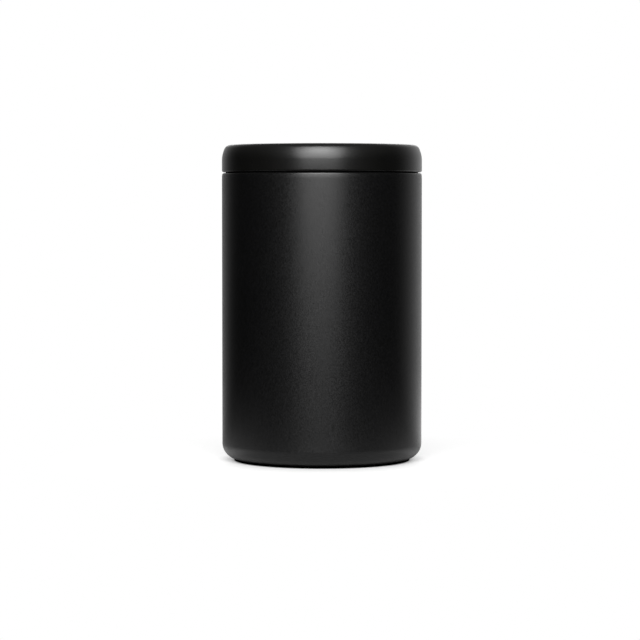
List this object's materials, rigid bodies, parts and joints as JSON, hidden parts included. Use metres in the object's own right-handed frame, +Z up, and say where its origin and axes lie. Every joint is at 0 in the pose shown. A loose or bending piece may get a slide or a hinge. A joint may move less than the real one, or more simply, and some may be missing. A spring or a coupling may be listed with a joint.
{
  "type": "coffee canister with valve",
  "caption": "Double-walled steel coffee canister with a push-on cap over an inner lid, whose accordion lets a press plate with a one-way valve down on to the beans.",
  "frame": {"origin": "on the table, under the canister's axis, at the underside of the foot pad", "axes": "+Z up along the canister's axis, +X to the picture's right, +Y away from the camera"},
  "size_m": [0.108, 0.108, 0.1703],
  "materials": {
    "powder_coat": "black powder coat, fine grain",
    "liner_steel": "electropolished",
    "base_steel": "brushed",
    "sealing_glass": "fired frit",
    "getter_metal": "sintered",
    "foot_rubber": "matt",
    "cap_plastic": "satin moulding",
    "insert_plastic": "matt moulding",
    "cap_silicone": "matt silicone",
    "frame_plastic": "satin moulding",
    "seal_silicone": "matt silicone",
    "accordion_silicone": "matt silicone",
    "plate_plastic": "satin moulding",
    "cage_plastic": "matt moulding",
    "filter_steel": "etched",
    "spring_steel": "drawn wire",
    "stem_plastic": "satin moulding",
    "knob_plastic": "satin moulding"
  },
  "bodies": {
    "canister": {"outer_shell": "powder_coat", "inner_liner": "liner_steel", "base_plate": "base_steel", "sealing_bead": "sealing_glass", "getter": "getter_metal", "foot_pad": "foot_rubber"},
    "cap": {"cap_shell": "cap_plastic", "cap_insert": "insert_plastic", "cap_seal": "cap_silicone"},
    "inner_lid": {"seat_ring": "frame_plastic", "seat_seal": "seal_silicone", "clamp_ring": "frame_plastic", "accordion": "accordion_silicone"},
    "press": {"press_plate": "plate_plastic", "bottom_plate": "plate_plastic", "valve_cage": "cage_plastic", "valve_filter": "filter_steel", "valve_spring": "spring_steel"},
    "valve": {"valve_stem": "stem_plastic", "valve_seal": "seal_silicone", "valve_knob": "knob_plastic"}
  },
  "joints": [
    {"name": "inner_lid_lift", "type": "slide", "parent": "canister", "child": "inner_lid", "axis": [0, 0, 1], "range_m": [0, 0.115]},
    {"name": "cap_lift", "type": "slide", "parent": "inner_lid", "child": "cap", "axis": [0, 0, 1], "range_m": [0, 0.06]},
    {"name": "press_raise", "type": "slide", "parent": "inner_lid", "child": "press", "axis": [0, 0, 1], "range_m": [0, 0.0405], "deforming": ["accordion"]},
    {"name": "valve_lift", "type": "slide", "parent": "press", "child": "valve", "axis": [0, 0, 1], "range_m": [0, 0.003], "stiffness_N_per_m": 430, "springref_m": -0.0003, "deforming": ["valve_spring"]}
  ]
}
